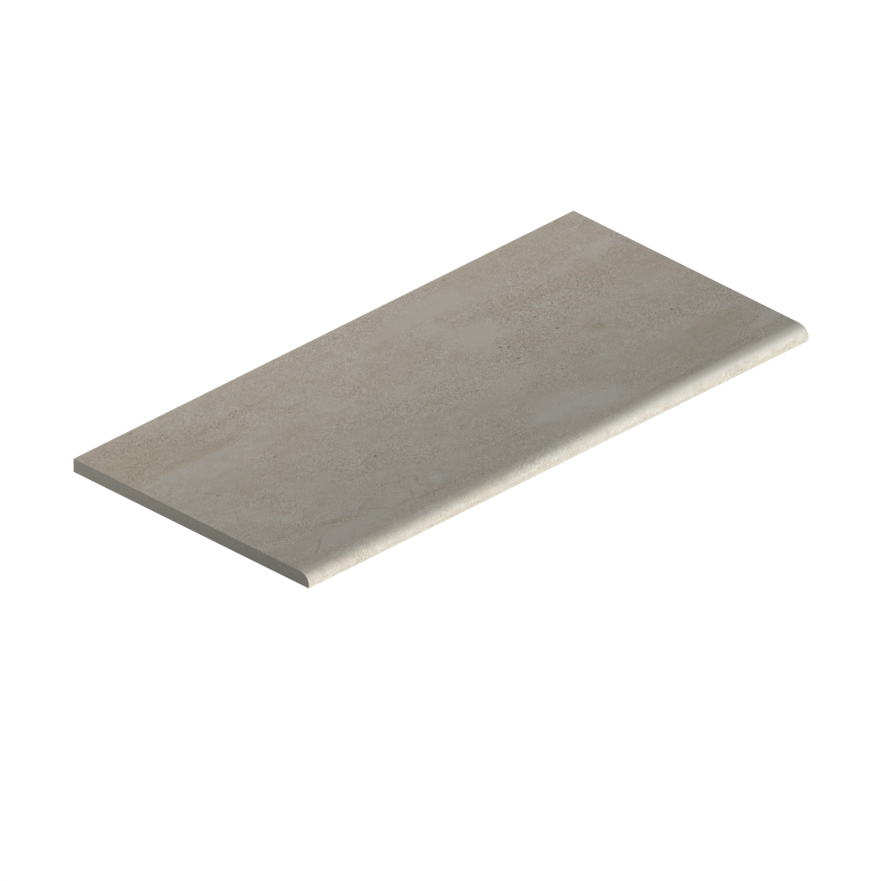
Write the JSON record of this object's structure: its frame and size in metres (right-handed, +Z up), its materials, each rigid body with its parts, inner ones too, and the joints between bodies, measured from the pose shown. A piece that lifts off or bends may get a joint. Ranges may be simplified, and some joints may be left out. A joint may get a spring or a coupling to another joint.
{
  "type": "stair nosing tile",
  "caption": "Flat rectangular porcelain step tile with a rounded front nosing along one long edge, square ground ends and back, and a keyed underside.",
  "frame": {"origin": "centre of the tile's bounding box at the underside", "axes": "+X along the nose, -Y out of the nose, +Y out of the back edge, +Z up out of the tread"},
  "size_m": [0.597, 0.281, 0.013],
  "materials": {
    "glazed_stoneware": "matte"
  },
  "bodies": {
    "root": {"nosing_tile": "glazed_stoneware"}
  },
  "joints": []
}
